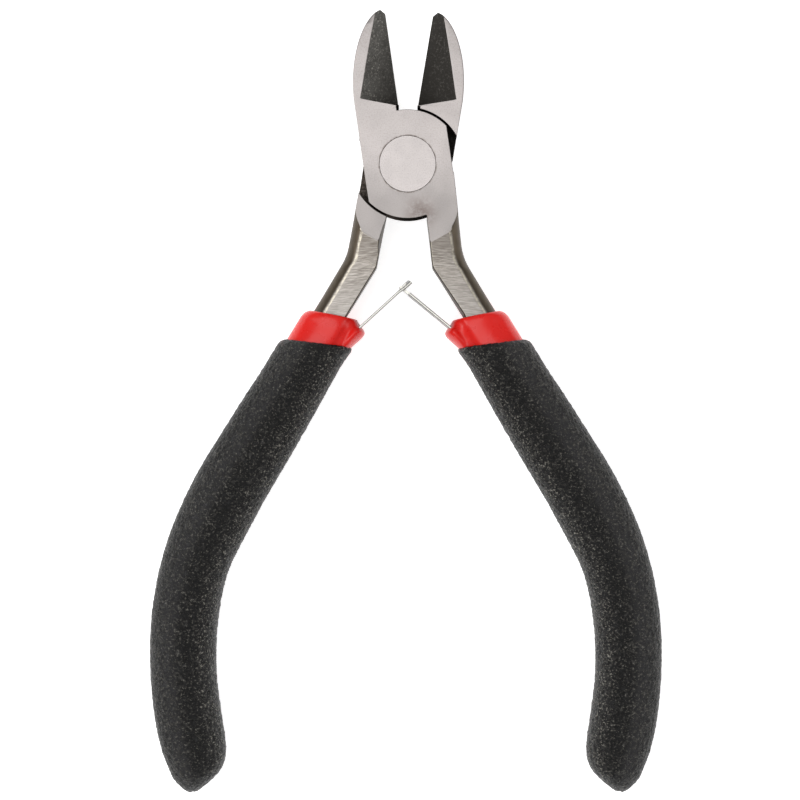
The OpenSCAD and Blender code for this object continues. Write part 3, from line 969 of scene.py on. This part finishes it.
# Rows of a skin: station along the path, reach to the inner and the outer side, and share of the
# full thickness
SLEEVE_ROWS = [
    [SLEEVE_S + 0.1, 3.1, 3.5, 0.945], [SLEEVE_S + 0.45, 3.5, 3.85, 0.985],
    [SLEEVE_S + 0.95, 4.05, 4.0, 1], [SLEEVE_S + 1.4, 4.65, 4.05, 1],
    [SLEEVE_S + 1.9, 5.06, 4.05, 1], [SLEEVE_S + 2.6, 5.08, 4.05, 1],
    [SLEEVE_S + 4.6, 4.45, 4.05, 1], [SLEEVE_S + 6.6, 4.02, 4.05, 1],
    [20, 4.05, 4.1, 1], [30, 4.3, 4.25, 1], [40, 4.4, 4.2, 1], [46, 4.05, 4.1, 1],
    [56, 3.95, 3.9, 1], [66, 3.9, 3.85, 1], [71, 3.7, 3.7, 0.97],
    [74, 3.1, 3.0, 0.85], [75.4, 2.1, 2.1, 0.6], [76, 0.8, 0.8, 0.25]]

GRIP_ROWS = [
    [GRIP_S, 4.35, 4.4, 0.93], [GRIP_S + 0.3, 4.62, 4.66, 0.98],
    [GRIP_S + 0.8, 4.72, 4.78, 1], [GRIP_S + 1.6, 4.66, 4.8, 1],
    [GRIP_S + 2.8, 4.6, 4.8, 1], [17, 4.66, 4.82, 1], [21, 4.88, 4.92, 1],
    [25, 5.05, 4.98, 1], [30, 5.15, 5.06, 1], [36, 5.22, 5.1, 1], [39.5, 5.2, 5.08, 1],
    [43, 5.0, 5.06, 1], [46, 4.74, 5.0, 1], [50, 4.7, 4.86, 1], [55, 4.8, 4.74, 1],
    [61, 4.83, 4.64, 1], [66, 4.74, 4.72, 1], [69.5, 4.68, 4.82, 1], [72.5, 4.68, 4.72, 1],
    [75, 4.6, 4.42, 0.97], [77, 4.15, 3.96, 0.9], [78.4, 3.25, 3.58, 0.8],
    [79.5, 1.9, 2.95, 0.62], [80.3, 0.6, 2.3, 0.42], [80.8, -0.4, 1.7, 0.2]]


GRAIN_DEPTH = 0.11
COARSE_GRAIN = 1.5               # grains per mm
FINE_GRAIN = 2.6
COARSE_SHARE = 0.4


def shear(s, tilt):
    return tand(SPREAD + tilt) * clamp((SHEAR_END - s) / SHEAR_FADE)


def round_box(value, half):
    return half * math.copysign(abs(value) ** (2 / SQUARENESS), value)


def eased(t):
    t = clamp(t)
    return t * t * (3 - 2 * t)


NOSE_END = SLEEVE_S + 6.5        # the nose fades out along the sleeve up to here
NOSE_FADE = 3.5
NOSE_SWELL = (3.0, 0.35)         # from this far to the inner side, by this share of the height
NOSE_VALLEY = (1.6, 0.15)


def nose_waist(s, u):
    """The sleeve's skin sinks beside the arm and swells again at the nose around the spring."""
    swell = NOSE_SWELL[1] * eased(-u - NOSE_SWELL[0])
    valley = NOSE_VALLEY[1] * eased(-u - NOSE_VALLEY[0])
    return 1.0 + clamp((NOSE_END - s) / NOSE_FADE) * (swell - valley)


def section_ring(row, thickness, tilt, waist, points):
    s, inner, outer, share = row
    middle = (outer - inner) / 2
    half_w = (outer + inner) / 2
    half_t = share * thickness / 2
    ring = []
    for i in range(points):
        a = 360 * i / points
        u = middle + round_box(cosd(a), half_w)
        p = beside(s + u * shear(s, tilt), u)
        height = waist(s, u) if waist else 1.0
        ring.append((p[0], p[1], MID_Z + round_box(sind(a), half_t) * height))
    return ring


def mark_across(ob, rings, points):
    """Stores where each point lies across the skin, 0 at its inner and 1 at its outer side."""
    layer = ob.data.attributes.new("across", "FLOAT", "POINT")
    place_across = [0.5 + 0.5 * round_box(cosd(360 * i / points), 1.0) for i in range(points)]
    layer.data.foreach_set("value", place_across * rings)


def dipped(name, rows, mouth, thickness, tilt, material, waist=None, spacing=0.4, points=112):
    """A dipped skin: smooth along its rows, with its mouth turned in to what it was dipped on."""
    stations = []
    for a, b in zip(rows, rows[1:]):
        count = max(2, round((b[0] - a[0]) / spacing))
        stations += [a[0] + (b[0] - a[0]) * i / count for i in range(count)]
    stations.append(rows[-1][0])
    full = mouth + [[s] + smooth_rows(rows, s) for s in stations]
    ob = rings_mesh(name, [section_ring(row, thickness, tilt, waist, points) for row in full])
    mark_across(ob, len(full), points)
    smooth_edges(ob, 60)
    ob.data.materials.append(material)
    return ob


def make_sleeve(name):
    mouth = [[SLEEVE_S + 0.35, 1.6, 2.2, 0.55], [SLEEVE_S + 0.14, 2.4, 2.85, 0.82],
             [SLEEVE_S + 0.06, 2.85, 3.25, 0.90]]
    return dipped(name, SLEEVE_ROWS, mouth, SLEEVE_T, SLEEVE_TILT, red_vinyl, nose_waist)


def roughen(ob, depth):
    """Lifts and sinks the skin in grains."""
    skin = ob.data
    moves = []
    for v in skin.vertices:
        coarse = noise.noise(v.co * COARSE_GRAIN)
        fine = noise.noise(v.co * FINE_GRAIN)
        moves.append(v.co + v.normal * depth * (COARSE_SHARE * coarse + fine))
    for v, co in zip(skin.vertices, moves):
        v.co = co
    return ob


def make_grip(name):
    mouth = [[GRIP_S + 0.7, 3.7, 3.8, 0.80], [GRIP_S + 0.22, 3.95, 4.05, 0.84],
             [GRIP_S + 0.03, 4.15, 4.22, 0.885]]
    ob = dipped(name, GRIP_ROWS, mouth, GRIP_T, GRIP_TILT, black_vinyl, spacing=0.24, points=160)
    return roughen(ob, GRAIN_DEPTH)


def shifted(ob, shift):
    ob.data.transform(Matrix.Translation((shift, 0, 0)))
    return ob


right_sleeve = place(shifted(make_sleeve("right_red_sleeve"), RIGHT_SHIFT), RIGHT_OPEN)
left_sleeve = place(shifted(make_sleeve("left_red_sleeve"), LEFT_SHIFT), LEFT_OPEN, True)
right_grip = place(shifted(make_grip("right_black_grip"), RIGHT_SHIFT), RIGHT_OPEN)
left_grip = place(shifted(make_grip("left_black_grip"), LEFT_SHIFT), LEFT_OPEN, True)


# ---------------------------------------------------------------- springs

FOOT_BEND_S = 12.8
FOOT_END_S = 22.0
FOOT_GAP = 0.05
FOOT_U = TANG_OFFSET[0][1] - TANG_HALF_W[1][1] - FOOT_GAP - STRIP_T / 2
FOOT_STEPS = 20
KNEE_REACH = 0.9                 # the knee's curve begins and ends this far from its corner
KNEE_STEPS = 8
SHANK_STEP = 0.3                 # mm between sections
LEAF_STEP = 0.15


def turned(p, angle):
    return Vector((p[0] * cosd(angle) - p[1] * sind(angle),
                   p[0] * sind(angle) + p[1] * cosd(angle)))


def spring_path(shift, opening, leaf_direction, leaf_length):
    """The strip's middle line in the plan, from its foot's end to its leaf's end, on the right."""
    root = turned(Vector(LEAF_ROOT) + Vector((shift, 0)), opening)
    knee = turned(beside(FOOT_BEND_S, FOOT_U) + Vector((shift, 0)), opening)
    end = turned(beside(FOOT_END_S, FOOT_U) + Vector((shift, 0)), opening)
    points = []
    down = (end - knee).normalized()
    back = (root - knee).normalized()
    for i in range(FOOT_STEPS + 1):
        points.append(end + (knee + down * KNEE_REACH - end) * i / FOOT_STEPS)
    for i in range(1, KNEE_STEPS):
        t = i / KNEE_STEPS
        points.append((knee + down * KNEE_REACH) * (1 - t) ** 2 + knee * 2 * t * (1 - t)
                      + (knee + back * KNEE_REACH) * t ** 2)
    shank = root - knee - back * KNEE_REACH
    steps = max(4, round(shank.length / SHANK_STEP))
    for i in range(steps):
        points.append(knee + back * KNEE_REACH + shank * i / steps)
    leaf = Vector((cosd(leaf_direction), sind(leaf_direction)))
    count = round(leaf_length / LEAF_STEP)
    for i in range(count + 1):
        points.append(root + leaf * leaf_length * i / count)
    return points, root, leaf


STRIP_THINNER = 0.05             # each side is drawn this much inside the CAD's strip
STRIP_CORNER = 0.07
TWIST_FROM = 6.7                 # mm along the window's leaf, from where its end is twisted
TWIST_OVER = 1.2
WINDOW_TWIST = 5.0
LEAN = 1.6                       # degrees that each leaf leans from upright


def strip_mesh(name, points, root, twist, lean):
    """A rolled strip standing on its edge along the points, with rounded edges."""
    t = STRIP_T / 2 - STRIP_THINNER
    w = STRIP_W / 2
    c = STRIP_CORNER
    k = c * 0.3
    section = [(-t, -w + c), (-t + k, -w + k), (-t + c, -w), (t - c, -w), (t - k, -w + k),
               (t, -w + c), (t, w - c), (t - k, w - k), (t - c, w), (-t + c, w), (-t + k, w - k),
               (-t, w - c)]
    rings = []
    for i, p in enumerate(points):
        a = points[max(0, i - 1)]
        b = points[min(len(points) - 1, i + 1)]
        way = (b - a).normalized()
        normal = Vector((-way[1], way[0]))
        reach = (p - root).length if i > len(points) // 2 else 0.0
        turn = twist * clamp((reach - TWIST_FROM) / TWIST_OVER)
        ring = []
        for u, z in section:
            du = u * cosd(turn + lean) - z * sind(turn + lean)
            dz = u * sind(turn + lean) + z * cosd(turn + lean)
            q = p + normal * du
            ring.append((q[0], q[1], MID_Z + dz))
        rings.append(ring)
    return rings_mesh(name, rings)


CUT_HALF_T = 1.5


def leaf_block(name, root, leaf, span, z_span):
    """A block over a span of the leaf, for cutting its window or beside its tongue."""
    angle = math.atan2(leaf[1], leaf[0])
    matrix = Matrix.Translation((root[0], root[1], MID_Z)) @ Matrix.Rotation(angle, 4, "Z")
    return block(name, (span[0], -CUT_HALF_T, z_span[0]), (span[1], CUT_HALF_T, z_span[1]), matrix)


def make_spring(name, shift, opening, direction, length, window):
    points, root, leaf = spring_path(shift, opening, direction, length)
    if window:
        ob = strip_mesh(name, points, root, -WINDOW_TWIST, -LEAN)
        hole = leaf_block("window", root, leaf, WINDOW, (-WINDOW_W / 2, WINDOW_W / 2))
        boolean(ob, hole, "DIFFERENCE")
    else:
        ob = strip_mesh(name, points, root, 0.0, LEAN)
        over = (TONGUE_FROM, length + CUT)
        for z_span in ((TONGUE_W / 2, STRIP_W), (-STRIP_W, -TONGUE_W / 2)):
            boolean(ob, leaf_block("shoulder", root, leaf, over, z_span), "DIFFERENCE")
    smooth_edges(ob, 50)
    ob.data.materials.append(spring_steel)
    return ob, root, leaf


# On the right handle the right leaf points up and to the left. The left spring is drawn on the
# right as well and mirrored, so its direction is mirrored here.
right_spring, right_root, right_way = make_spring(
    "right_leaf_spring", RIGHT_SHIFT, RIGHT_OPEN, 90 + RIGHT_SLANT, RIGHT_LEAF, False)
left_spring, left_root, left_way = make_spring(
    "left_leaf_spring", LEFT_SHIFT, LEFT_OPEN, 90 + LEFT_SLANT, LEFT_LEAF, True)
place(right_spring)
place(left_spring, mirrored=True)


# ---------------------------------------------------------------- joining the frame

def stand_for(ob, body, slot, *nodes):
    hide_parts(*nodes)
    if body:
        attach(ob, body)


stand_for(upper, "upper_half", "forged_steel", "upper_half")
stand_for(lower, "lower_half", "forged_steel", "lower_half")
stand_for(rivet, "lower_half", "rivet_steel", "pivot_rivet")
stand_for(right_sleeve, "upper_half", "red_pvc", "right_sleeve")
stand_for(left_sleeve, "lower_half", "red_pvc", "left_sleeve")
stand_for(right_grip, "upper_half", "black_grip", "right_grip")
stand_for(left_grip, "lower_half", "black_grip", "left_grip")
stand_for(right_spring, None, "spring_steel", "right_spring_foot", "right_spring_leaf")
stand_for(left_spring, None, "spring_steel", "left_spring_foot", "left_spring_leaf")


BEND_SPAN = (-0.5, 0.7)          # mm along the leaf from its root


def bend_at_root(ob, body, leaf_body, root, way, mirrored):
    sign = -1 if mirrored else 1
    points = []
    for reach in BEND_SPAN:
        p = root + way * reach
        points.append((sign * p[0] * MM, p[1] * MM, MID_Z * MM))
    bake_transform(ob, body, leaf_body, start=points[0], end=points[1])


bend_at_root(right_spring, "upper_half", "right_leaf", right_root, right_way, False)
bend_at_root(left_spring, "lower_half", "left_leaf", left_root, left_way, True)

for node in ("left_spring_rivet", "right_spring_rivet"):
    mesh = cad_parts[node].data
    mesh.materials.clear()
    mesh.materials.append(rivet_steel)


# ---------------------------------------------------------------- floor and light

def floor_material():
    g = Graph("pale_floor")
    color = g.mix(g.noise(0.02, detail=2), (0.90, 0.90, 0.90), (0.93, 0.93, 0.93))
    return g.finish(color, 0.8, 0.0, Emission_Color=(1, 1, 1, 1), Emission_Strength=0.70)


FLOOR_Z = -1.13                  # just under the lowest grain of the grips
FLOOR_HALF = 700.0
FLOOR_T = 2.0
floor = block("floor", (-FLOOR_HALF, -FLOOR_HALF, FLOOR_Z - FLOOR_T),
              (FLOOR_HALF, FLOOR_HALF, FLOOR_Z))
floor.data.transform(Matrix.Scale(MM, 4))
floor.data.materials.append(floor_material())


AIM = (0.0, -0.035, 0.0)


def softbox(name, place_at, size, power):
    data = bpy.data.lights.new(name, "AREA")
    data.shape = "RECTANGLE"
    data.size, data.size_y = size
    data.energy = power
    ob = bpy.data.objects.new(name, data)
    ob.location = place_at
    ob.rotation_euler = (Vector(place_at) - Vector(AIM)).to_track_quat("Z", "Y").to_euler()
    scene.collection.objects.link(ob)


softbox("overhead", (-0.19, -0.03, 0.93), (0.58, 0.70), 2.8)
softbox("left_box", (-0.70, 0.0, 0.45), (0.30, 0.60), 2.0)
softbox("right_box", (0.75, -0.05, 0.35), (0.30, 0.60), 1.1)

world = bpy.data.worlds.new("studio")
scene.world = world
world.use_nodes = True
nodes = world.node_tree.nodes
links = world.node_tree.links
direction = nodes.new("ShaderNodeTexCoord").outputs["Generated"]
height = nodes.new("ShaderNodeSeparateXYZ")
links.new(direction, height.inputs[0])
ramp = nodes.new("ShaderNodeValToRGB")
links.new(height.outputs[2], ramp.inputs[0])
# Brightness from below, over the horizon, to straight above
levels = [(0.0, 0.35), (0.20, 0.30), (0.45, 0.40), (0.70, 0.50), (1.0, 0.50)]
ramp.color_ramp.elements[0].position = levels[0][0]
ramp.color_ramp.elements[0].color = (levels[0][1],) * 3 + (1,)
ramp.color_ramp.elements[1].position = levels[-1][0]
ramp.color_ramp.elements[1].color = (levels[-1][1],) * 3 + (1,)
for position, level in levels[1:-1]:
    element = ramp.color_ramp.elements.new(position)
    element.color = (level,) * 3 + (1,)
links.new(ramp.outputs[0], nodes["Background"].inputs[0])
nodes["Background"].inputs[1].default_value = 1.0

scene.view_settings.view_transform = "Standard"
scene.view_settings.look = "None"
